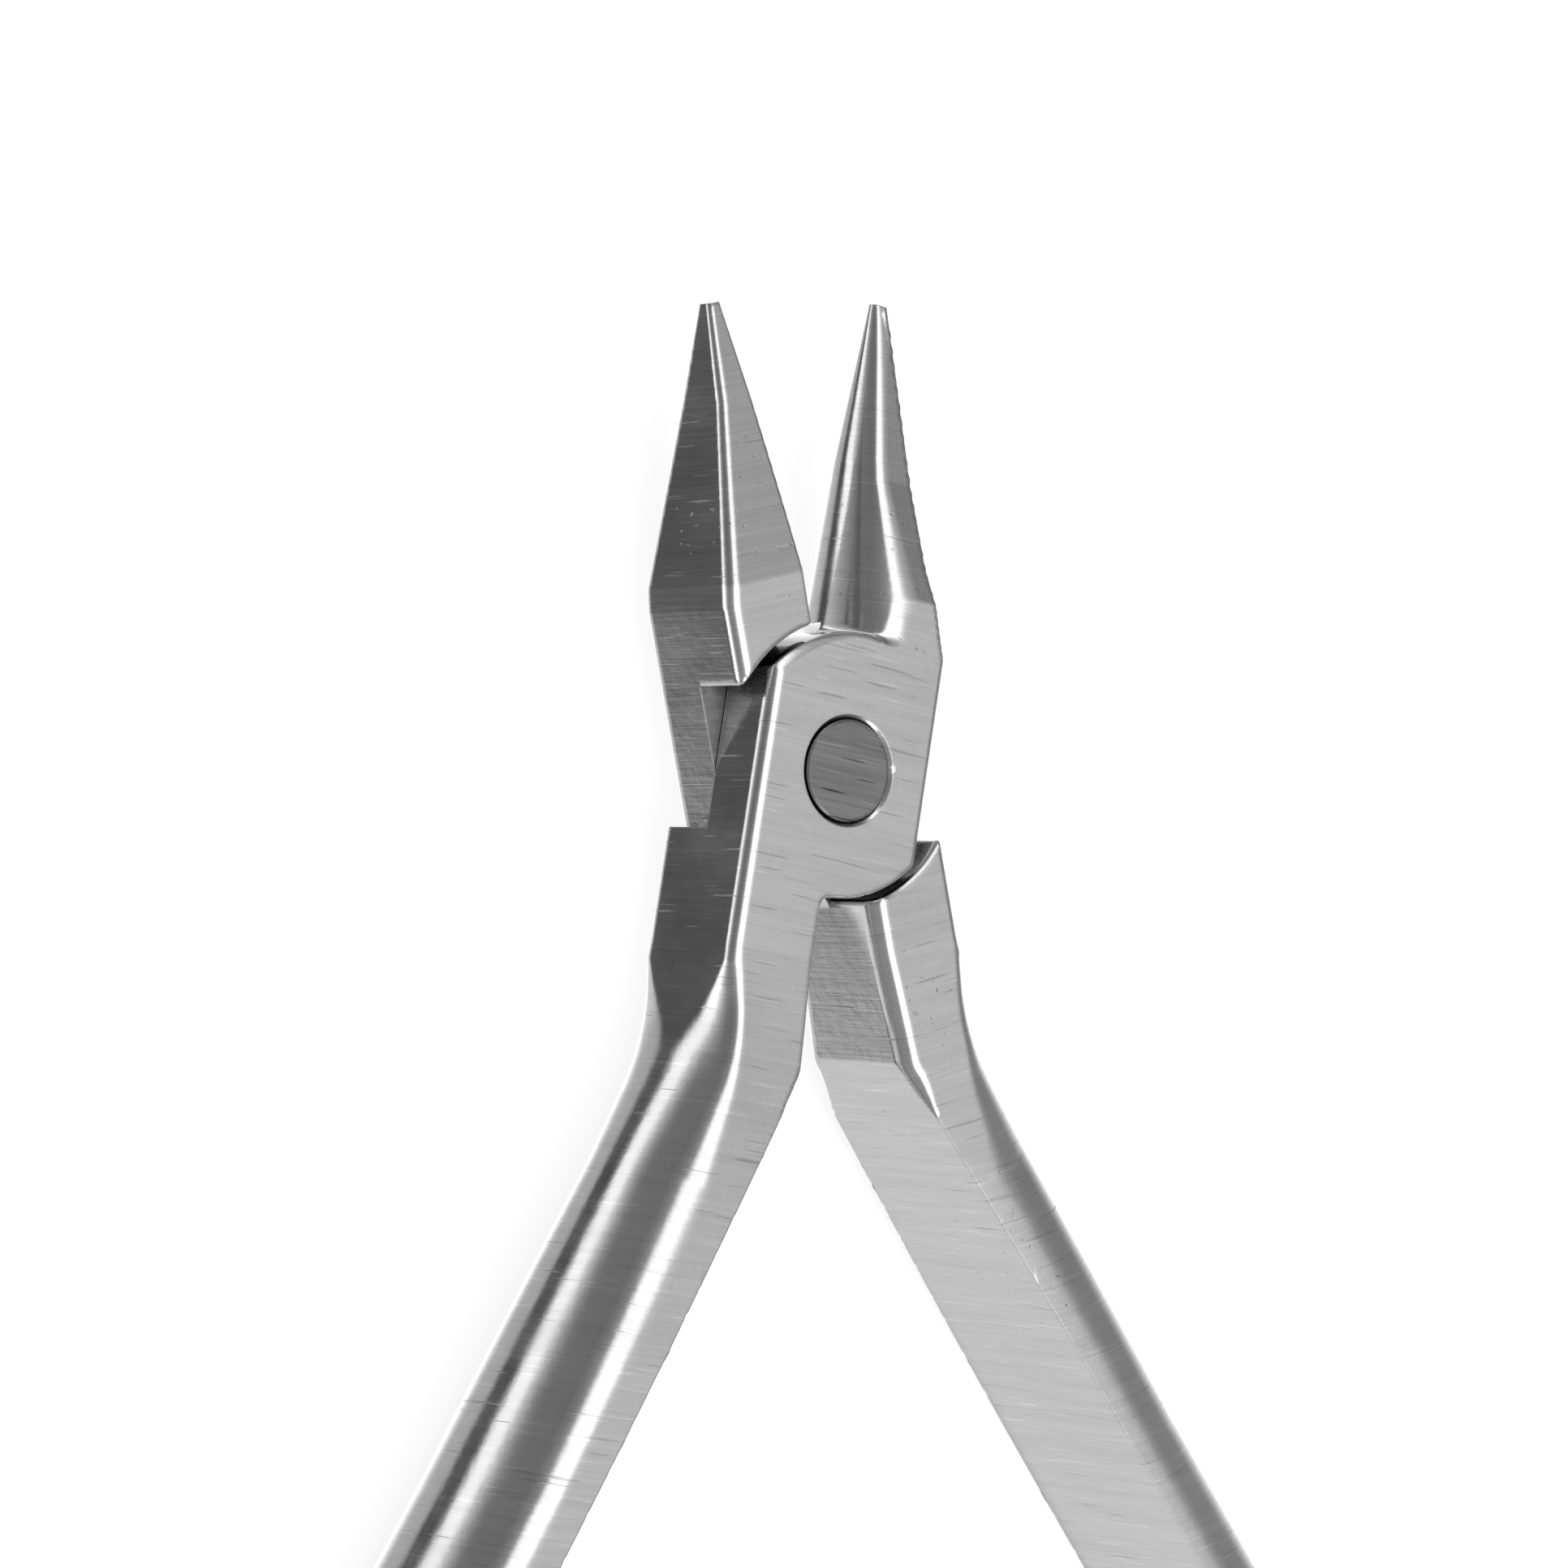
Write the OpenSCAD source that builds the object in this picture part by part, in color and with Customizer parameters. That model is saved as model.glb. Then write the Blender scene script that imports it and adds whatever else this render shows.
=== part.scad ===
// Small steel pliers with one conical and one pyramidal beak, for bending and forming wire.
// They lie on their back: X runs across, +Y points to the beak tips, +Z points out of the front face.
// The origin is on the pivot axis, on the joint's back face.
// Each lever is drawn with its beak straight up, as it stands when the pliers are shut, and then
// turned about the pivot to the open rest position.

/* [Rest position] */
// How far the front lever stands open from upright, in degrees
front_turn = 12.4; // [6:0.1:20]
// How far the rear lever stands open from upright, in degrees
rear_turn = 10.5; // [5:0.1:18]

/* [Joint] */
// Thickness of the joint, both laps together
joint_t = 8; // [7:0.1:9]
// Pivot axis to the joint's left side
joint_left = 6; // [5.6:0.05:6.4]
// Pivot axis to the joint's right side
joint_right = 5.5; // [5.2:0.05:6]
// Gap between the two lap faces
lap_gap = 0.04; // [0.02:0.01:0.1]
// Radius of each lap's round shoulder next to the other lever's beak
lap_top_r = 7.6; // [7.4:0.05:7.8]
// Radius of each lap's round corner next to the other lever's handle
lap_low_r = 6.95; // [6.8:0.05:7.05]
// Radius of the hollow that clears the shoulder
beak_hollow_r = 8.3; // [8.1:0.05:8.6]
// Radius of the hollow that clears the corner
handle_hollow_r = 7.35; // [7.2:0.05:7.6]

/* [Pivot] */
// Radius of the post's head, the round face in the front
head_r = 2.8; // [2.6:0.05:3]
// Thickness of the post's head
head_t = 1.8; // [1.4:0.1:2.4]
// Radius of the post's shank
shank_r = 2.1; // [1.9:0.05:2.3]
// Radial running clearance of the front lever on the post
run_gap = 0.03; // [0.01:0.01:0.08]
// Bevel round the counterbore's mouth
mouth_bevel = 0.3; // [0.1:0.05:0.5]
// Radius of the retaining screw's head
screw_head_r = 2.6; // [2.3:0.05:2.8]
// Radius of the retaining screw's thread
screw_r = 1.3; // [1:0.05:1.4]
// Height of the screw's top above the back face
screw_top = 5.2; // [4.4:0.1:5.6]

/* [Beaks] */
// Pivot axis to the beak tips
tip_y = 26.45; // [24:0.1:30]
// Half the thickness of the cone's tip
cone_tip_h = 0.42; // [0.3:0.02:0.6]
// Half the thickness of the pyramid's tip
pyramid_tip_h = 0.45; // [0.3:0.02:0.6]
// Height at which the cone beak starts to thin
cone_root_y = 10.1; // [9.6:0.1:11]
// Height at which the pyramid beak starts to thin
pyramid_root_y = 11.3; // [10.8:0.1:12]

/* [Handles] */
// Distance from the pivot to the handles' bend
bend_y = 16.7; // [15.5:0.1:18]
// Angle of each handle to the centre line below the bend, in degrees
splay = 23.1; // [20:0.1:26]
// Angle by which each handle's end turns inward, in degrees
toe_in = 4; // [0:0.5:8]
// Length of the straight stretch below the bend
straight_len = 38; // [34:1:42]
// Length of the curved stretch in the palm
curve_len = 34; // [30:1:38]
// Length of the end stretch
end_len = 23; // [18:1:28]
// Handle width across, at the joint
handle_w = 5.5; // [5:0.1:6]
// Handle width across, in the palm
palm_w = 4.8; // [4.4:0.1:5.6]
// Handle depth in the palm, front to back
palm_t = 11.7; // [10:0.1:12.4]

/* [Hidden] */
mid_z = joint_t / 2;
big = 60;
// Inner faces of the two handles when the pliers are shut
front_inner_x = -0.5;
rear_inner_x = 0.12;
// Inner edges of the beaks when the pliers are shut, at the root and at the tip
cone_in = [-0.5, -0.22];
pyramid_in = [-0.72, -0.62];
cone_tip_w = 0.82;
pyramid_tip_w = 0.75;
// Rounding of each handle's outer side: width across, and share of the half depth
front_corner = [3.1, 0.97];
rear_corner = [4.36, 0.62];
// Countersink of the retaining screw, 90 degrees
sink_h = screw_head_r - screw_r;
post_floor = sink_h + 0.2;
// Two blind holes in the screw's head for a pin spanner
spanner_r = 0.4;
spanner_x = 1.4;
spanner_depth = 0.6;

// ---- handle sweep -------------------------------------------------------------------------
lead_in = 6.2;
bend_len = 3.4;
s_fine = 12;
s_bend = lead_in + straight_len;
s_curve = s_bend + curve_len;
s_end = s_curve + end_len;
nose = 4.4;
s_nose = s_end - nose;
fine_rings = 16;
main_rings = 34;
nose_rings = 8;
arc_steps = 6;
// Distances along the handle at which its section is drawn, closer at the bend and at the end
stations = concat(
    [for (i = [0 : fine_rings - 1]) s_fine * i / fine_rings],
    [for (i = [0 : main_rings - 1]) s_fine + (s_nose - s_fine) * i / main_rings],
    [for (i = [0 : nose_rings]) s_nose + nose * sin(90 * i / nose_rings)]);
ring_count = len(stations) - 1;

// Linear blend that stays level outside its two ends
function ramp(x, x0, x1, y0, y1) = y0 + (y1 - y0) * min(1, max(0, (x - x0) / (x1 - x0)));
// Heading of the handle away from -Y at distance s along it
function heading(s) =
    s < s_bend ? ramp(s, lead_in - bend_len / 2, lead_in + bend_len / 2, 0, splay)
    : ramp(s, s_bend, s_curve, splay, -toe_in);
// Points along the handle's inner face
function walk(i, p) = i == 0 ? [p] :
    let (before = walk(i - 1, p), last = before[len(before) - 1], ds = stations[i] - stations[i - 1],
         a = heading((stations[i] + stations[i - 1]) / 2))
    concat(before, [last + ds * [-sin(a), -cos(a)]]);
// Half depth, width and corner sizes at distance s
function half_depth(s) = mid_z + (palm_t / 2 - mid_z) * (1 - pow(1 - ramp(s, 0, 42, 0, 1), 2));
function width(s) = ramp(s, 8, 34, handle_w, palm_w);
// The last stretch rounds off
function end_round(s) = sqrt(max(0.01, 1 - pow(ramp(s, s_nose, s_end, 0, 1), 2)));
function corner_w(s, widest) = s < 7 ? ramp(s, 0, 7, 0.5, 1.7) : ramp(s, 7, 15, 1.7, widest);
function corner_z(s, share) = ramp(s, 1, 6.4, 0.6, share * half_depth(s));
// One section: flat inner face with bevelled edges, flat front and back, rounded outer side
function section(s, corner) =
    let (h = half_depth(s) * (0.6 + 0.4 * end_round(s)), w = width(s), a = corner_w(s, corner[0]),
         b = corner_z(s, corner[1]) * (0.6 + 0.4 * end_round(s)), c = 0.35)
    [for (q = concat(
        [[0, c - h], [c, -h]],
        [for (k = [0 : arc_steps]) [w - a + a * sin(90 * k / arc_steps), b - h - b * cos(90 * k / arc_steps)]],
        [for (k = [0 : arc_steps]) [w - a + a * cos(90 * k / arc_steps), h - b + b * sin(90 * k / arc_steps)]],
        [[c, h], [0, h - c]]))
        [w / 2 + (q[0] - w / 2) * end_round(s), q[1]]];

module handle(inner_x, corner) {
    start = [inner_x, -bend_y + lead_in];
    path = walk(ring_count, start);
    n = len(section(0, corner));
    points = [for (i = [0 : ring_count], q = section(stations[i], corner))
        let (a = heading(stations[i]))
        [path[i][0] - q[0] * cos(a), path[i][1] + q[0] * sin(a), mid_z + q[1]]];
    sides = [for (i = [0 : ring_count - 1], j = [0 : n - 1])
        let (k = (j + 1) % n, r = i * n, t = r + n)
        each [[r + j, r + k, t + k], [r + j, t + k, t + j]]];
    first = [for (j = [n - 1 : -1 : 0]) j];
    last = [for (j = [0 : n - 1]) ring_count * n + j];
    polyhedron(points = points, faces = concat(sides, [first, last]));
}

// ---- outlines -----------------------------------------------------------------------------
// Band of the joint between its two straight sides
module joint_band(low, high) {
    translate([-joint_left, low]) square([joint_left + joint_right, high - low]);
}

// The round lap of one lever, seen from its own side
module lap_outline(inner_x, outer_x) {
    fillet = 0.8;
    side = sign(inner_x - outer_x);
    c = [inner_x + side * fillet, -sqrt(pow(lap_low_r + fillet, 2) - pow(inner_x + side * fillet, 2))];
    intersection() {
        circle(r = lap_top_r, $fn = 96);
        joint_band(-2, 9);
    }
    intersection() {
        circle(r = lap_low_r, $fn = 96);
        joint_band(-7, 0);
    }
    // Neck down to the handle, with a round inner corner
    polygon([[outer_x, 3], [outer_x, -11.5], [inner_x, -11.5], [inner_x, -6], [0, 0]]);
    difference() {
        polygon([[inner_x, c[1]], [inner_x, -6], [c[0], -6], c]);
        translate(c) circle(r = fillet, $fn = 48);
    }
}

// The handle root that is as thick as the joint, outside the hollow for the other lever
module handle_root(inner_x, outer_x) {
    low = -11.5;
    difference() {
        translate([min(inner_x, outer_x), low]) square([abs(inner_x - outer_x), -low - 2]);
        circle(r = handle_hollow_r, $fn = 96);
    }
}

module cone_outline() {
    polygon([[cone_in[0], 7], [cone_in[1], tip_y], [cone_in[1] + cone_tip_w, tip_y],
        [3.7, 12], [joint_right, 7.2], [joint_right, 5], [3, 5]]);
}

module pyramid_outline() {
    polygon([[pyramid_in[0], 7], [pyramid_in[1], tip_y - 0.1], [pyramid_in[1] - pyramid_tip_w, tip_y - 0.1],
        [-2.75, 20.9], [-joint_left, pyramid_root_y - 0.5], [-joint_left, 4.8], [-3, 4.8]]);
}

// Side view of a beak: parallel below root_y, then thinning on both faces to the tip
module beak_profile(root_y, waist, tip_h) {
    translate([-big / 2, 0, 0]) rotate([90, 0, 90]) linear_extrude(big)
        polygon([[0, 0], [root_y, 0], [waist[0], mid_z - waist[1]], [tip_y + 1, mid_z - tip_h],
            [tip_y + 1, mid_z + tip_h], [waist[0], mid_z + waist[1]], [root_y, joint_t], [0, joint_t]]);
}

// Round inner side of the cone beak; the axis leans so that its inner edge stands upright
module cone_body() {
    axis_root = [4.4, 8];
    axis_tip = [0.2, tip_y];
    lean = atan2(axis_root[0] - axis_tip[0], axis_tip[1] - axis_root[1]);
    long = norm(axis_tip - axis_root);
    translate([axis_root[0], axis_root[1], mid_z]) rotate([-90, 0, 0]) rotate([0, -lean, 0])
        rotate_extrude($fn = 96)
        polygon([[0, -3], [5.6, -3], [4.9, 0], [2.69, 0.54 * long], [cone_tip_h, long], [0, long]]);
}

module cone_beak() {
    intersection() {
        linear_extrude(joint_t) cone_outline();
        beak_profile(cone_root_y, [16.5, 2.3], cone_tip_h - 0.1);
        union() {
            cone_body();
            linear_extrude(joint_t)
                polygon([[4.5, 8], [0.25, tip_y], [0.25, tip_y + 2], [20, 40], [20, 0], [3.4, 0], [3.4, 8]]);
        }
    }
}

module pyramid_beak() {
    intersection() {
        linear_extrude(joint_t) pyramid_outline();
        beak_profile(pyramid_root_y, [20.8, 1.95], pyramid_tip_h - 0.2);
    }
}

// ---- the two levers -----------------------------------------------------------------------
module front_lever() {
    color([0.72, 0.72, 0.73]) rotate([0, 0, -front_turn]) difference() {
        union() {
            translate([0, 0, mid_z + lap_gap / 2]) linear_extrude(mid_z - lap_gap / 2)
                lap_outline(front_inner_x, -joint_left);
            difference() {
                cone_beak();
                translate([0, 0, -1]) cylinder(r = beak_hollow_r, h = mid_z + lap_gap / 2 + 1, $fn = 96);
            }
            linear_extrude(joint_t) handle_root(front_inner_x, -joint_left);
            handle(front_inner_x, front_corner);
        }
        // Counterbore for the post's head, with a bevelled mouth, and the running bore
        translate([0, 0, joint_t - head_t - run_gap])
            cylinder(r = head_r + run_gap, h = head_t + 1, $fn = 96);
        translate([0, 0, joint_t - mouth_bevel])
            cylinder(r1 = head_r + run_gap, r2 = head_r + run_gap + 2 * mouth_bevel, h = 2 * mouth_bevel, $fn = 96);
        cylinder(r = shank_r + run_gap, h = joint_t, $fn = 96);
    }
}

module rear_lever() {
    color([0.66, 0.66, 0.67]) rotate([0, 0, rear_turn]) difference() {
        union() {
            linear_extrude(mid_z - lap_gap / 2) lap_outline(rear_inner_x, joint_right);
            difference() {
                pyramid_beak();
                translate([0, 0, mid_z - lap_gap / 2])
                    cylinder(r = beak_hollow_r, h = joint_t, $fn = 96);
            }
            linear_extrude(joint_t) handle_root(rear_inner_x, joint_right);
            mirror([1, 0, 0]) handle(-rear_inner_x, rear_corner);
        }
        translate([0, 0, post_floor]) cylinder(r = shank_r, h = joint_t, $fn = 96);
        translate([0, 0, -1]) cylinder(r = screw_r, h = joint_t, $fn = 96);
        cylinder(r1 = screw_head_r, r2 = screw_r, h = sink_h, $fn = 96);
        translate([0, 0, -1]) cylinder(r = screw_head_r, h = 1, $fn = 96);
    }
}

// ---- the pivot ----------------------------------------------------------------------------
module pivot_post() {
    edge = 0.12;
    color([0.5, 0.5, 0.51]) difference() {
        rotate_extrude($fn = 96)
            polygon([[0, post_floor], [shank_r, post_floor], [shank_r, joint_t - head_t],
                [head_r, joint_t - head_t], [head_r, joint_t - edge], [head_r - edge, joint_t], [0, joint_t]]);
        cylinder(r = screw_r, h = screw_top, $fn = 96);
    }
}

module pivot_screw() {
    color([0.6, 0.6, 0.61]) difference() {
        rotate_extrude($fn = 96)
            polygon([[0, 0], [screw_head_r, 0], [screw_r, sink_h], [screw_r, screw_top], [0, screw_top]]);
        translate([spanner_x, 0, -1]) cylinder(r = spanner_r, h = 1 + spanner_depth, $fn = 32);
        translate([-spanner_x, 0, -1]) cylinder(r = spanner_r, h = 1 + spanner_depth, $fn = 32);
    }
}

front_lever();
rear_lever();
pivot_post();
pivot_screw();
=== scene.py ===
import math

import bpy
import numpy as np
from mathutils import Matrix, Vector


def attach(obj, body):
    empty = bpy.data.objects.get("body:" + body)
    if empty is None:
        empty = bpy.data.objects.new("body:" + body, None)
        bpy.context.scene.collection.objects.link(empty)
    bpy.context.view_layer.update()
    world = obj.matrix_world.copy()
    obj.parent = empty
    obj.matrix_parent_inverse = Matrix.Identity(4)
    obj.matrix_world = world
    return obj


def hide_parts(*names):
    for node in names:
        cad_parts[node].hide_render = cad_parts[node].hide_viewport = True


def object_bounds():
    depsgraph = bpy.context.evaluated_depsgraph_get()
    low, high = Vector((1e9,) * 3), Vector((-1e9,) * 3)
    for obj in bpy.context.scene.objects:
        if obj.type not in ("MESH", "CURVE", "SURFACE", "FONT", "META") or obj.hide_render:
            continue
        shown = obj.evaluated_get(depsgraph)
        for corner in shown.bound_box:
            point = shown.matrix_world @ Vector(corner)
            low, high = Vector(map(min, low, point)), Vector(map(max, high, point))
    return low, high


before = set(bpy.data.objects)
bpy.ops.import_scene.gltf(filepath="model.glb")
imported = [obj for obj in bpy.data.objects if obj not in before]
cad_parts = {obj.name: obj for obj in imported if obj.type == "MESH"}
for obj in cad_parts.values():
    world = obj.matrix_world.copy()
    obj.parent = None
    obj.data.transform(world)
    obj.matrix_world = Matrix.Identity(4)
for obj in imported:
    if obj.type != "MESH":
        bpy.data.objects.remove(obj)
cad_low, cad_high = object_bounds()

# All lengths are in millimetres until the meshes are made.
MM = 0.001
JOINT_T = 8.0
MID_Z = JOINT_T / 2
# Pivot axis to the joint's sides, and to each lever's inner side below the laps
LEFT, RIGHT = 6.0, 5.5
FRONT_INNER, REAR_INNER = -0.5, 0.12
LAP_TOP_R, LAP_LOW_R = 7.6, 6.95
HOLLOW_TOP_R, HOLLOW_LOW_R = 8.3, 7.35
LAP_GAP = 0.04
# The lap's outline ends here, inside the handle's root
PLAN_LOW_Y = -8.0
TIP_Y = 26.36
FRONT_TURN, REAR_TURN = math.radians(-12.4), math.radians(10.5)
# Front lever: counterbore, its floor and bevelled mouth, and running bore
HEAD_BORE_R, HEAD_FLOOR_Z, MOUTH_Z, SHANK_BORE_R = 2.83, 6.17, 7.75, 2.13
# Rear lever: hole for the post, its floor, hole for the screw and its countersink
POST_R, POST_FLOOR_Z, SCREW_R, SINK_R = 2.1, 1.5, 1.3, 2.6


def smoothstep(x, lo, hi):
    t = np.clip((x - lo) / (hi - lo), 0, 1)
    return t * t * (3 - 2 * t)


def round_max(a, b, r):
    """Intersection whose outer edge is rounded to radius r."""
    return np.minimum(np.maximum(a, b), -r) + np.hypot(np.maximum(a + r, 0), np.maximum(b + r, 0))


def round_min(a, b, r):
    """Union whose inner corner is filled to radius r."""
    return -round_max(-a, -b, r)


def blend(x, xs, ys):
    return np.interp(x, xs, ys)


# ---- handle ------------------------------------------------------------------
LEAD_IN, BEND_LEN, STRAIGHT, CURVE, END, NOSE = 6.2, 7.6, 38.0, 34.0, 22.93, 4.4
BEND_Y, SPLAY, TOE_IN = 16.7, math.radians(23.1), math.radians(4)
S_END = LEAD_IN + STRAIGHT + CURVE + END
# The handle runs this far up inside the lap
ROOT = BEND_Y - LEAD_IN - 2
# Half depth that the handle reaches, and the distance along it at which it does
DEEPEST, DEEPEST_AT = 5.83, 42


def handle_path(inner_x):
    """Straight and round stretches of the inner face: start, heading, length and turn rate."""
    stretches = []
    p, a, s = np.array([inner_x, -BEND_Y + LEAD_IN]), 0.0, 0.0
    for length, turn in (
        (LEAD_IN - BEND_LEN / 2, 0.0),
        (BEND_LEN, SPLAY),
        (STRAIGHT - BEND_LEN / 2, 0.0),
        (CURVE, -TOE_IN - SPLAY),
        (END, 0.0),
    ):
        k = turn / length
        stretches.append((p.copy(), a, s, length, k))
        steps = 200
        for i in range(steps):
            h = a + k * length * (i + 0.5) / steps
            p = p + length / steps * np.array([-math.sin(h), -math.cos(h)])
        a += turn
        s += length
    return stretches


def along_handle(x, y, inner_x):
    """Distance along the handle and distance outward from its inner face."""
    s_all = np.full(x.shape, -50.0)
    q_all = inner_x - x
    for i, (p, a, s0, length, k) in enumerate(handle_path(inner_x)):
        tx, ty = -math.sin(a), -math.cos(a)
        nx, ny = -math.cos(a), math.sin(a)
        u = (x - p[0]) * tx + (y - p[1]) * ty
        v = (x - p[0]) * nx + (y - p[1]) * ny
        here = u >= 0 if i else np.full(x.shape, True)
        if k:
            r = 1 / k
            s = np.arctan2(u, (r - v) * np.sign(r)) * abs(r)
            q = r - np.hypot(u, r - v) * np.sign(r)
        else:
            s, q = u, v
        s_all = np.where(here, s0 + s, s_all)
        q_all = np.where(here, q, q_all)
    return s_all, q_all


def handle(x, y, z, inner_x, inner_r, root_w, root_r, corner, share, crown):
    """Swept bar: flat inner face, flat front and back next to it, rounded outer side.

    inner_r rounds the inner edges at the root, root_w and root_r are the width and outer rounding
    there, corner and share set how far round the outer side is, and crown lowers the front's edge."""
    s, q = along_handle(x, y, inner_x)
    deep = MID_Z + (DEEPEST - MID_Z) * (1 - (1 - np.clip(s / DEEPEST_AT, 0, 1)) ** 2)
    wide = blend(s, [0, 8, 34], [root_w, 5.47, 4.76])
    nose = np.sqrt(np.maximum(1e-3, 1 - np.clip((s - (S_END - NOSE)) / NOSE, 0, 1) ** 2))
    a = blend(s, [0, 7, 15], [root_r, 1.7, corner])
    b = root_r + (share * deep - root_r) * (1 - (1 - np.clip((s - 1) / 6.6, 0, 1)) ** 1.3)
    # The inner face turns its corner more tightly than the outer side
    bend_r = BEND_LEN / SPLAY
    beta = (BEND_LEN / 2 - np.abs(s - LEAD_IN)) / bend_r
    tight = bend_r * (1 / np.cos(np.clip(beta, 0, SPLAY)) - 1)
    tight = np.minimum(tight, 0.9 * bend_r * (1 / math.cos(SPLAY / 2) - 1))
    h = deep * (0.6 + 0.4 * nose)
    b = b * (0.6 + 0.4 * nose)
    q = (q - wide / 2) / nose + wide / 2
    # A crowned front lies a little lower towards the inner edge
    h = h - crown * smoothstep(s, 7, 16) * np.maximum(1.7 - q, 0) ** 2
    zz = np.abs(z - MID_Z)
    u = np.maximum(q - (wide - a), 0) / a
    v = np.maximum(zz - (h - b), 0) / b
    m = np.hypot(u, v)
    g = np.hypot(u / a, v / b) / np.maximum(m, 1e-6)
    d = np.where(m > 1e-6, (m - 1) / np.maximum(g, 1e-6), np.maximum(q - wide, zz - h))
    edge = inner_r * smoothstep(s, 10.5, 6.5)
    bevel = (d - q - tight) * math.sqrt(0.5) + 0.72 * edge
    d = round_max(d, bevel, 0.3 * edge)
    d = round_max(d, -q - tight, 0.3 * edge) * np.minimum(1, nose + 0.2)
    return np.maximum(np.maximum(d, -ROOT - s), s - S_END)


# ---- levers, each with its beak upright ---------------------------------------
def cone_beak(x, y, z):
    ax, ay, bx, by = 4.4, 8.0, 0.2, TIP_Y
    long = math.hypot(bx - ax, by - ay)
    tx, ty = (bx - ax) / long, (by - ay) / long
    u = (x - ax) * tx + (y - ay) * ty
    v = (x - ax) * ty - (y - ay) * tx
    rho = np.hypot(v, z - MID_Z)
    cone = (rho - blend(u, [-3, 0, 0.54 * long, long], [5.6, 4.9, 2.69, 0.42])) * 0.98
    bar = np.where(y > 8, -v, 3.4 - x)
    return np.maximum(np.minimum(cone, bar), 4.5 - y)


def front_plan(x, y, z):
    r = np.hypot(x, y)
    low = round_min(r - LAP_LOW_R, x - FRONT_INNER, 0.8)
    plate = np.maximum(np.where(y > 0, r - LAP_TOP_R, low), -LEFT - x)
    plate = np.maximum(plate, MID_Z + LAP_GAP / 2 - z)
    body = np.where(y > 3, round_min(plate, cone_beak(x, y, z), 0.55), plate)
    right = np.where(y > 7.2, blend(y, [7.2, 12, TIP_Y], [RIGHT, 3.7, 0.6]), RIGHT)
    body = round_max(body, (x - right) * 0.98, 0.15)
    return np.maximum(body, y - TIP_Y)


def rear_plan(x, y, z):
    r = np.hypot(x, y)
    low = round_min(r - LAP_LOW_R, REAR_INNER - x, 0.8)
    plate = np.maximum(np.where(y > 0, r - LAP_TOP_R, low), x - RIGHT)
    plate = np.maximum(plate, z - MID_Z + LAP_GAP / 2)
    top = TIP_Y - 0.1
    left = blend(y, [10.2, 11.4, 20.9, top], [-LEFT, -5.8, -2.75, -1.37])
    inside = blend(y, [7, top], [-0.72, -0.62])
    beak = np.maximum(round_max((left - x) * 0.96, x - inside, 0.12), np.maximum(4.0 - y, y - top))
    return np.maximum(np.minimum(plate, beak), -LEFT - x)


def faces(plan, x, y, z, thick, big_r):
    """The plan's outline between its front and back faces, with rounder edges where it faces left."""
    e = 0.04
    d = plan(x, y, z)
    nx = (plan(x + e, y, z) - plan(x - e, y, z)) / (2 * e)
    small = blend(y, [8, 14], [0.24, 0.14])
    r = small + (big_r - small) * smoothstep(-nx, -0.05, 0.45)
    d = round_max(d, (z - MID_Z - thick) * 0.98, r)
    return round_max(d, (MID_Z - thick - z) * 0.98, r)


def front_lever(x, y, z):
    thick = blend(y, [10.1, 16.5, TIP_Y + 1], [MID_Z, 2.28, 0.32])
    big_r = blend(y, [6, 9, 12, TIP_Y], [0.7, 0.35, 0.35, 0.14])
    d = np.maximum(faces(front_plan, x, y, z, thick, big_r), PLAN_LOW_Y - y)
    bar = handle(
        x, y, z, inner_x=FRONT_INNER, inner_r=0.16, root_w=LEFT + FRONT_INNER, root_r=0.7,
        corner=3.1, share=0.97, crown=0.0,
    )
    d = np.minimum(d, bar)
    r = np.hypot(x, y)
    hollow = np.where(y > 0, HOLLOW_TOP_R, HOLLOW_LOW_R)
    d = np.maximum(d, np.minimum(hollow - r, MID_Z + LAP_GAP / 2 - z))
    bore = np.where(z > HEAD_FLOOR_Z, HEAD_BORE_R + np.maximum(z - MOUTH_Z, 0), SHANK_BORE_R)
    return np.maximum(d, bore - r)


def rear_lever(x, y, z):
    thick = blend(y, [11.3, 20.8, TIP_Y + 1], [MID_Z, 1.95, 0.25])
    big_r = blend(y, [11, TIP_Y], [0.7, 0.3])
    d = np.maximum(faces(rear_plan, x, y, z, thick, big_r), PLAN_LOW_Y - y)
    bar = handle(
        -x, y, z, inner_x=-REAR_INNER, inner_r=0.65, root_w=RIGHT - REAR_INNER, root_r=0.24,
        corner=4.36, share=0.62, crown=0.026,
    )
    d = np.minimum(d, bar)
    r = np.hypot(x, y)
    hollow = np.where(y > 0, HOLLOW_TOP_R, HOLLOW_LOW_R)
    d = np.minimum(round_max(d, hollow - r, 0.3), np.maximum(d, z - MID_Z + LAP_GAP / 2))
    bore = np.where(z < POST_FLOOR_Z, np.maximum(SINK_R - z, SCREW_R), POST_R)
    return np.maximum(d, bore - r)


# ---- mesh from a distance field, by dual contouring -----------------------------
NORMAL_STEP = 0.004
SHARP_ANGLE = math.radians(35)


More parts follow.
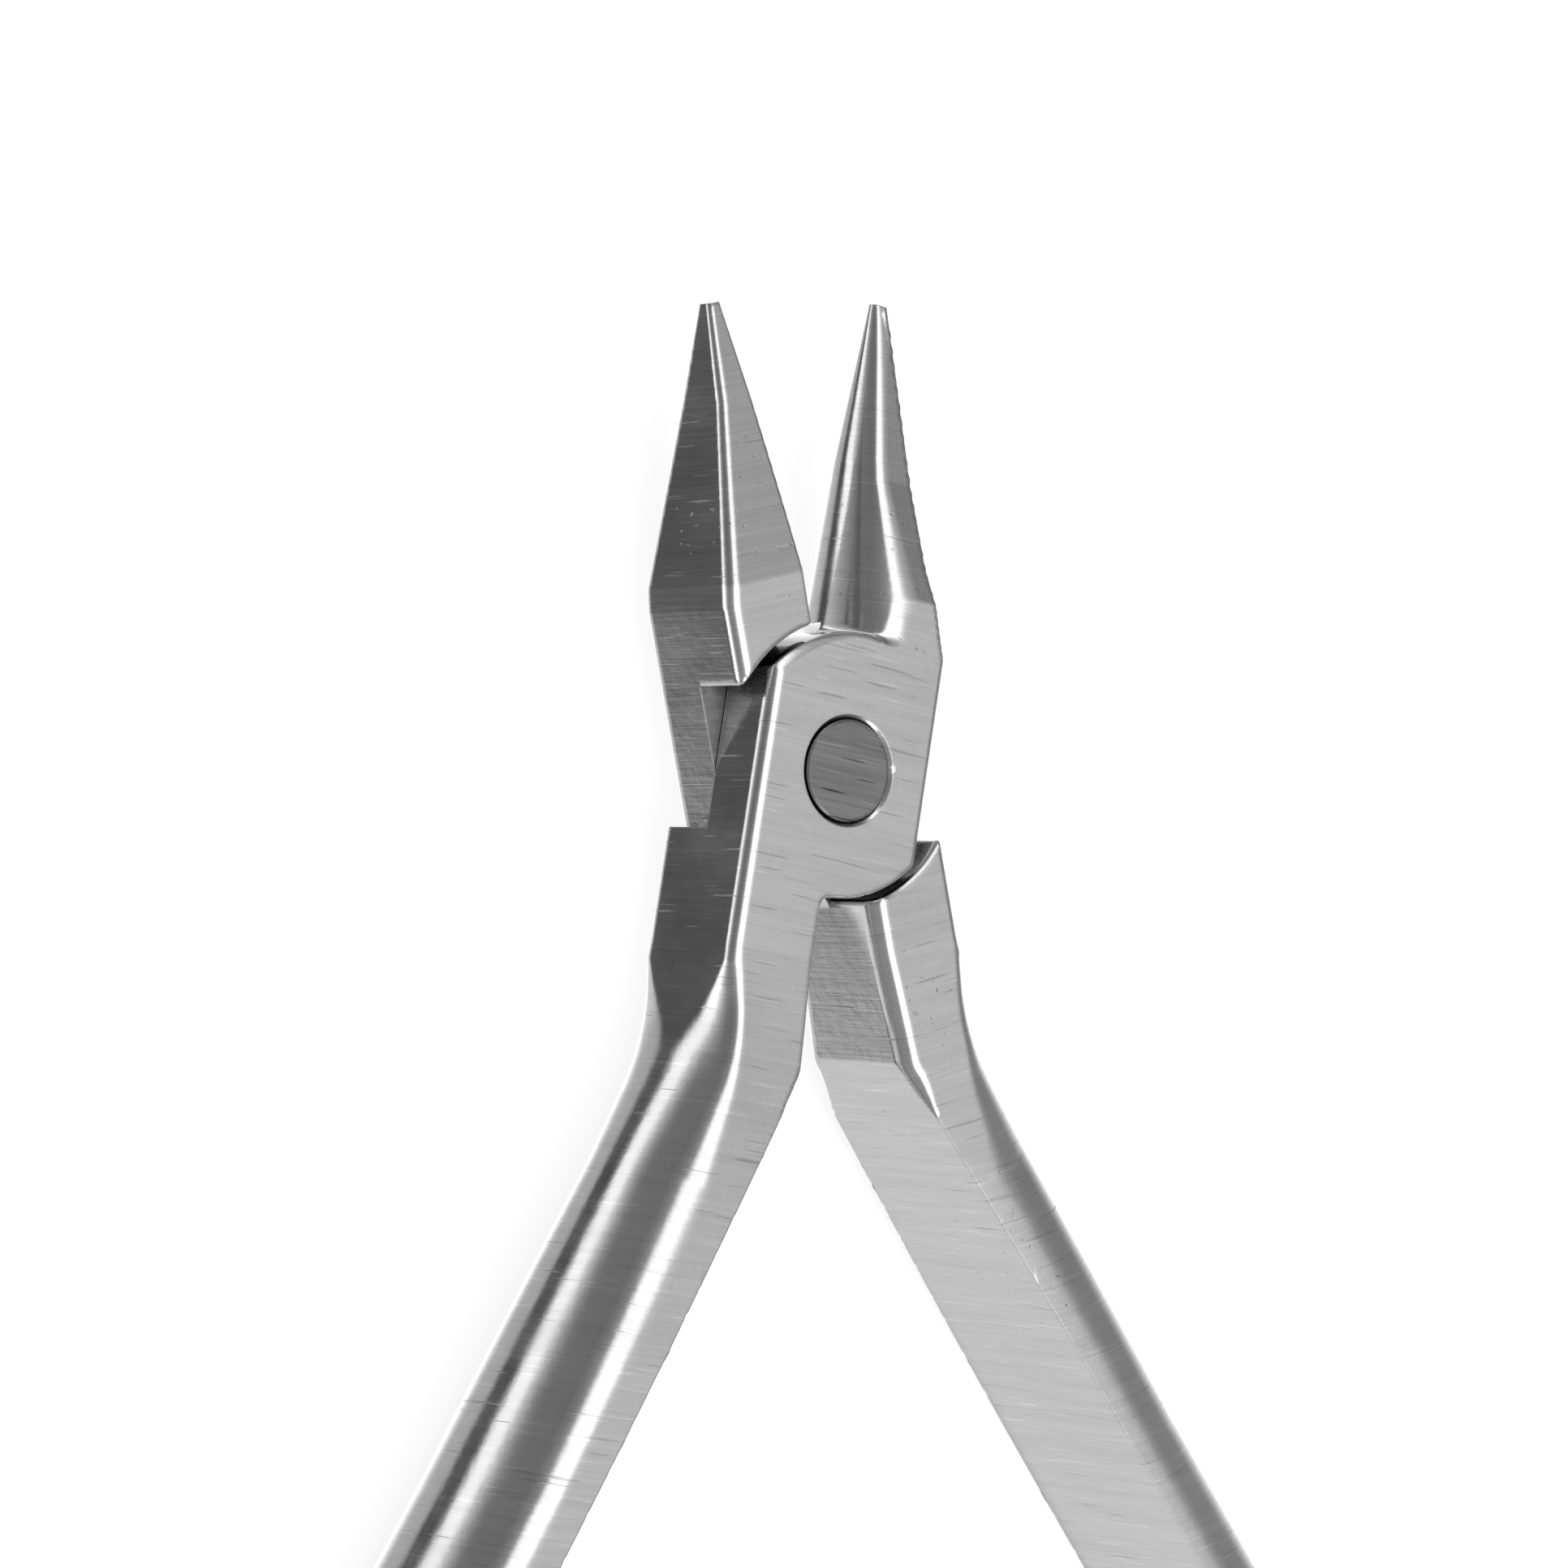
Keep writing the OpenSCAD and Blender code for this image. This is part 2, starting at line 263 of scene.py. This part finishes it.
def contour(field, xs, ys, zs):
    """Quads where the field changes sign, one point per cell placed by the surface's normals."""
    shape = (len(xs), len(ys), len(zs))
    values = np.empty(shape)
    for i, x in enumerate(xs):
        yy, zz = np.meshgrid(ys, zs, indexing="ij")
        values[i] = field(np.full(yy.size, x), yy.ravel(), zz.ravel()).reshape(yy.shape)
    axes = [xs, ys, zs]
    cells = tuple(n - 1 for n in shape)
    solid = values < 0
    points, normals, owners, quads = [], [], [], []
    for axis in range(3):
        lo = [slice(None)] * 3
        hi = [slice(None)] * 3
        lo[axis] = slice(0, -1)
        hi[axis] = slice(1, None)
        change = solid[tuple(lo)] != solid[tuple(hi)]
        idx = np.argwhere(change)
        other = [k for k in range(3) if k != axis]
        ok = np.all((idx[:, other] > 0) & (idx[:, other] < np.array([shape[k] - 1 for k in other])), axis=1)
        idx = idx[ok]
        p0 = np.stack([axes[k][idx[:, k]] for k in range(3)], 1)
        p1 = p0.copy()
        p1[:, axis] = axes[axis][idx[:, axis] + 1]
        f0 = values[tuple(idx.T)]
        far = idx.copy()
        far[:, axis] += 1
        f1 = values[tuple(far.T)]
        a, b = np.zeros(len(idx)), np.ones(len(idx))
        for _ in range(7):
            t = a + (b - a) * np.clip(f0 / (f0 - f1 + 1e-12), 0.1, 0.9)
            p = p0 + (p1 - p0) * t[:, None]
            f = field(p[:, 0], p[:, 1], p[:, 2])
            same = (f < 0) == (f0 < 0)
            a, b = np.where(same, t, a), np.where(same, b, t)
            f0, f1 = np.where(same, f, f0), np.where(same, f1, f)
        t = (a + b) / 2
        p = p0 + (p1 - p0) * t[:, None]
        e = NORMAL_STEP
        g = np.stack([
            field(*(p + np.eye(3)[k] * e).T) - field(*(p - np.eye(3)[k] * e).T) for k in range(3)
        ], 1)
        g /= np.maximum(np.linalg.norm(g, axis=1, keepdims=True), 1e-9)
        around = []
        for du, dv in ((0, 0), (1, 0), (1, 1), (0, 1)):
            c = idx.copy()
            c[:, other[0]] -= du
            c[:, other[1]] -= dv
            around.append(np.ravel_multi_index(tuple(c.T), cells))
        around = np.stack(around, 1)
        inside_first = solid[tuple(idx.T)]
        flip = inside_first if axis == 1 else ~inside_first
        quads.append(np.where(flip[:, None], around[:, ::-1], around))
        for k in range(4):
            points.append(p)
            normals.append(g)
            owners.append(around[:, k])
    quads = np.concatenate(quads)
    points, normals, owners = map(np.concatenate, (points, normals, owners))
    used, inverse = np.unique(owners, return_inverse=True)
    n = len(used)

    def total(weights):
        return np.bincount(inverse, weights, n)

    count = total(np.ones(len(owners)))
    mean = np.stack([total(points[:, k]) for k in range(3)], 1) / count[:, None]
    off = np.einsum("ij,ij->i", normals, points - mean[inverse])
    ata = np.empty((n, 3, 3))
    atb = np.empty((n, 3))
    for i in range(3):
        atb[:, i] = total(normals[:, i] * off)
        for j in range(3):
            ata[:, i, j] = total(normals[:, i] * normals[:, j])
    ata += np.eye(3) * 0.02
    corner = np.unravel_index(used, cells)
    low = np.stack([axes[k][corner[k]] for k in range(3)], 1)
    high = np.stack([axes[k][corner[k] + 1] for k in range(3)], 1)
    verts = np.clip(mean + np.linalg.solve(ata, atb[..., None])[..., 0], low, high)
    return verts, np.searchsorted(used, quads)


def lever_mesh(name, node, field, turn, mirror, body):
    fine, coarse, long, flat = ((0.17, 0.36, 0.5, 0.18))
    # Finer cells where the beak's tip is
    tip = fine / 2
    if mirror:
        runs = (-6.6, -1.6, fine), (-1.6, -0.4, tip), (-0.4, 7, fine), (7, 27, coarse)
    else:
        runs = (-27, -7, coarse), (-7, -0.4, fine), (-0.4, 0.8, tip), (0.8, 6.4, fine)
    xs = np.concatenate([np.arange(*run) for run in runs])
    ys = np.concatenate([np.arange(-108.8, -24, long), np.arange(-24, 27, fine)])
    # Finer cells where the laps meet; the shift keeps the grid off the flat faces
    layers = (-2.1, 3.4, flat), (3.4, 4.6, flat / 2), (4.6, 10.3, flat)
    zs = np.concatenate([np.arange(*layer) for layer in layers]) + 0.013
    verts, quads = contour(field, xs, ys, zs)
    c, s = math.cos(turn), math.sin(turn)
    verts[:, :2] = verts[:, :2] @ np.array([[c, s], [-s, c]])
    mesh = bpy.data.meshes.new(name)
    mesh.from_pydata((verts * MM).tolist(), [], quads.tolist())
    mesh.validate()
    mesh.shade_smooth()
    mesh.set_sharp_from_angle(angle=SHARP_ANGLE)
    obj = bpy.data.objects.new(name, mesh)
    bpy.context.scene.collection.objects.link(obj)
    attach(obj, body)
    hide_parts(node)
    return obj


LENS, SENSOR = 131.45, 36
CAMERA_AT = Vector((-191.95, 4.42, 246.2 + JOINT_T))
CAMERA_RIGHT = Vector((0.7951, -0.0243, 0.6060))
CAMERA_UP = Vector((0.0291, 0.9996, 0.0018))


def make_camera():
    data = bpy.data.cameras.new("camera")
    data.sensor_width = SENSOR
    data.lens = LENS
    data.clip_start = 0.01
    data.clip_end = 10
    cam = bpy.data.objects.new("camera", data)
    back = CAMERA_RIGHT.cross(CAMERA_UP).normalized()
    up = back.cross(CAMERA_RIGHT).normalized()
    rot = Matrix((CAMERA_RIGHT.normalized(), up, back)).transposed()
    cam.matrix_world = Matrix.Translation(CAMERA_AT * MM) @ rot.to_4x4()
    bpy.context.scene.collection.objects.link(cam)
    bpy.context.scene.camera = cam


make_camera()
front = lever_mesh("front_lever_steel", "front_lever", front_lever, FRONT_TURN, False, "front")
rear = lever_mesh("rear_lever_steel", "rear_lever", rear_lever, REAR_TURN, True, "rear")


# ---- materials -----------------------------------------------------------------
# Reach of the painted shade in crevices
CREVICE_SHADE_REACH = 2.2
EDGE_RADIUS = 0.12
BUMP_DEPTH = 0.0045


class Nodes:
    """Short way to make and join shader nodes."""

    def __init__(self, tree):
        self.tree = tree

    def put(self, socket, value):
        if isinstance(value, bpy.types.NodeSocket):
            self.tree.links.new(value, socket)
        else:
            socket.default_value = value

    def math(self, operation, a, b=0.0):
        n = self.tree.nodes.new("ShaderNodeMath")
        n.operation = operation
        self.put(n.inputs[0], a)
        self.put(n.inputs[1], b)
        return n.outputs[0]

    def spread(self, value, lo, hi, out_lo=0.0, out_hi=1.0):
        n = self.tree.nodes.new("ShaderNodeMapRange")
        for socket, v in zip(n.inputs, (value, lo, hi, out_lo, out_hi)):
            self.put(socket, v)
        return n.outputs[0]

    def noise(self, vector, stretch, detail=2.0, rough=0.5):
        m = self.tree.nodes.new("ShaderNodeMapping")
        self.put(m.inputs["Vector"], vector)
        m.inputs["Scale"].default_value = stretch
        n = self.tree.nodes.new("ShaderNodeTexNoise")
        self.put(n.inputs["Vector"], m.outputs[0])
        n.inputs["Scale"].default_value = 1.0
        n.inputs["Detail"].default_value = detail
        n.inputs["Roughness"].default_value = rough
        return n.outputs["Fac"]

    def bump(self, height, distance, normal):
        n = self.tree.nodes.new("ShaderNodeBump")
        n.inputs["Strength"].default_value = 1.0
        n.inputs["Distance"].default_value = distance
        self.put(n.inputs["Height"], height)
        self.put(n.inputs["Normal"], normal)
        return n.outputs[0]

    def gray(self, value):
        n = self.tree.nodes.new("ShaderNodeCombineColor")
        for socket in n.inputs[:3]:
            self.put(socket, value)
        return n.outputs[0]


def ground_steel(name, turn, tone, rough):
    """Satin steel ground across the lever: fine lines, dark scratches and bright glints, soft
    blotches, small nicks and a faint ripple, with painted shade darkening crevices and edges."""
    mat = bpy.data.materials.new(name)
    mat.use_nodes = True
    k = Nodes(mat.node_tree)
    shader = mat.node_tree.nodes["Principled BSDF"]
    coord = mat.node_tree.nodes.new("ShaderNodeTexCoord")
    lever = mat.node_tree.nodes.new("ShaderNodeVectorRotate")
    lever.rotation_type = "Z_AXIS"
    lever.inputs["Angle"].default_value = -turn
    k.put(lever.inputs["Vector"], coord.outputs["Object"])
    at = lever.outputs[0]
    lines = k.noise(at, (160, 7000, 160), 3.0, 0.6)
    wide_lines = k.noise(at, (60, 1500, 60), 2.0)
    scratches = k.spread(k.noise(at, (190, 5200, 190), 1.0), 0.69, 0.74)
    blotch = k.noise(at, (220, 320, 220), 3.0)
    nick_area = k.spread(k.noise(at, (90, 90, 90), 1.0), 0.56, 0.66)
    nicks = k.math("MULTIPLY", k.spread(k.noise(at, (2600, 3400, 2600), 1.0), 0.71, 0.75), nick_area)
    glints = k.spread(k.noise(at, (240, 6100, 240), 1.0), 0.67, 0.73)
    peel = k.noise(at, (1500, 1500, 1500), 2.0)
    value = k.math("ADD", tone - 0.14, k.math("MULTIPLY", lines, 0.16))
    value = k.math("ADD", value, k.math("MULTIPLY", wide_lines, 0.12))
    value = k.math("ADD", value, k.math("MULTIPLY", glints, 0.10))
    value = k.math("SUBTRACT", value, k.math("MULTIPLY", scratches, 0.16))
    value = k.math("SUBTRACT", value, k.math("MULTIPLY", nicks, 0.22))
    # Painted shade: an ambient-occlusion pass darkens the colour in crevices, seams and between the laps
    crevice_shade = mat.node_tree.nodes.new("ShaderNodeAmbientOcclusion")
    crevice_shade.inputs["Distance"].default_value = CREVICE_SHADE_REACH * MM
    crevice_shade.samples = 8
    value = k.math("MULTIPLY", value, k.spread(crevice_shade.outputs["AO"], 0.2, 0.7, 0.25, 1.0))
    # Painted shade on edges: where the rounded-edge normal turns from the face's own, the colour is darkened
    # down to half; the same rounded normal also feeds the bump below
    soft_edge = mat.node_tree.nodes.new("ShaderNodeBevel")
    soft_edge.inputs["Radius"].default_value = EDGE_RADIUS * MM
    flat = mat.node_tree.nodes.new("ShaderNodeNewGeometry")
    edge_shade_turn = mat.node_tree.nodes.new("ShaderNodeVectorMath")
    edge_shade_turn.operation = "DISTANCE"
    k.put(edge_shade_turn.inputs[0], soft_edge.outputs[0])
    k.put(edge_shade_turn.inputs[1], flat.outputs["Normal"])
    value = k.math("MULTIPLY", value, k.spread(edge_shade_turn.outputs["Value"], 0.12, 0.4, 1.0, 0.5))
    k.put(shader.inputs["Base Color"], k.gray(value))
    r = k.spread(blotch, 0.3, 0.7, rough - 0.03, rough + 0.05)
    r = k.math("ADD", r, k.math("MULTIPLY", lines, 0.05))
    k.put(shader.inputs["Roughness"], k.math("ADD", r, k.math("MULTIPLY", scratches, 0.12)))
    height = k.math("ADD", k.math("MULTIPLY", lines, 0.7), k.math("MULTIPLY", wide_lines, 0.8))
    height = k.math("SUBTRACT", height, k.math("MULTIPLY", scratches, 0.8))
    height = k.math("SUBTRACT", height, k.math("MULTIPLY", nicks, 1.5))
    height = k.math("ADD", height, k.math("MULTIPLY", peel, 1.4))
    k.put(shader.inputs["Normal"], k.bump(height, BUMP_DEPTH * MM, soft_edge.outputs[0]))
    shader.inputs["Metallic"].default_value = 1.0
    return mat


def wear(obj, material):
    obj.data.materials.clear()
    obj.data.materials.append(material)


wear(front, ground_steel("front_steel", FRONT_TURN, 0.62, 0.11))
wear(rear, ground_steel("rear_steel", REAR_TURN, 0.61, 0.11))
wear(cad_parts["pivot_post"], ground_steel("post_steel", FRONT_TURN, 0.24, 0.33))
wear(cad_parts["pivot_screw"], ground_steel("screw_steel", REAR_TURN, 0.40, 0.3))
for name, mat in (("front_lever", "front_steel"), ("rear_lever", "rear_steel")):
    wear(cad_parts[name], bpy.data.materials[mat])


# ---- floor and light --------------------------------------------------------------
def make_floor():
    mesh = bpy.data.meshes.new("floor")
    half = 3.0
    z = cad_low.z - 0.00002
    corners = [(-half, -half, z), (half, -half, z), (half, half, z), (-half, half, z)]
    mesh.from_pydata(corners, [], [(0, 1, 2, 3)])
    obj = bpy.data.objects.new("floor", mesh)
    bpy.context.scene.collection.objects.link(obj)
    mat = bpy.data.materials.new("floor_white")
    mat.use_nodes = True
    k = Nodes(mat.node_tree)
    shader = mat.node_tree.nodes["Principled BSDF"]
    coord = mat.node_tree.nodes.new("ShaderNodeTexCoord")
    cloud = k.noise(coord.outputs["Object"], (30, 30, 30))
    k.put(shader.inputs["Base Color"], k.gray(k.spread(cloud, 0, 1, 0.19, 0.21)))
    shader.inputs["Roughness"].default_value = 0.9
    shader.inputs["Emission Color"].default_value = (1, 1, 1, 1)
    shader.inputs["Emission Strength"].default_value = 0.86
    obj.data.materials.append(mat)
    obj.visible_glossy = False


def make_studio(bands, top):
    """Soft light all round whose strength depends on the direction round the pliers' length, like
    white walls and dark gaps between them. bands: degrees from straight up towards -X, and level."""
    world = bpy.data.worlds.new("studio")
    bpy.context.scene.world = world
    world.use_nodes = True
    k = Nodes(world.node_tree)
    coord = world.node_tree.nodes.new("ShaderNodeTexCoord")
    split = world.node_tree.nodes.new("ShaderNodeSeparateXYZ")
    k.put(split.inputs[0], coord.outputs["Generated"])
    angle = k.math("ARCTAN2", k.math("MULTIPLY", split.outputs["X"], -1.0), split.outputs["Z"])
    lean = k.math("MAXIMUM", k.math("SUBTRACT", split.outputs["Y"], 0.3), 0.0)
    lean = k.math("ADD", lean, k.math("MINIMUM", k.math("ADD", split.outputs["Y"], 0.14), 0.0))
    below = k.spread(split.outputs["Z"], 0.15, -0.25)
    shift = k.math("MULTIPLY", k.math("MULTIPLY", lean, below), math.radians(65))
    side = k.spread(split.outputs["X"], 0.05, -0.05)
    angle = k.math("SUBTRACT", angle, k.math("MULTIPLY", shift, side))
    ramp = world.node_tree.nodes.new("ShaderNodeValToRGB")
    k.put(ramp.inputs[0], k.spread(angle, -math.pi, math.pi))
    stops = ramp.color_ramp.elements
    stops.remove(stops[1])
    for i, (deg, level) in enumerate(bands):
        stop = stops.new((deg + 180) / 360) if i else stops[0]
        stop.position = (deg + 180) / 360
        stop.color = (level, level, level, 1)
    shade = k.spread(split.outputs["Y"], 0.1, 0.25, 1.0, top)
    background = world.node_tree.nodes["Background"]
    k.put(background.inputs["Color"], ramp.outputs[0])
    k.put(background.inputs["Strength"], shade)


make_floor()
make_studio(
    [(-180, 0.85), (-162, 1.7), (-138, 1.7), (-124, 1.2), (-110, 0.9), (-98, 0.55), (-88, 0.34), (-60, 0.32),
     (-50, 0.42), (-43, 0.62), (-37, 0.74), (-30, 0.78), (-24, 1.05), (-17, 1.6), (-10, 2.4), (19, 2.4),
     (26, 1.5), (31, 0.6), (42, 0.42), (60, 0.31), (82, 0.34), (94, 0.6), (106, 1.2), (113, 2.2), (128, 2.2),
     (133, 0.9), (136, 0.2), (143, 0.13), (151, 0.17), (154, 0.6), (158, 0.85), (180, 0.85)], 0.68)
bpy.context.scene.view_settings.view_transform = "Standard"
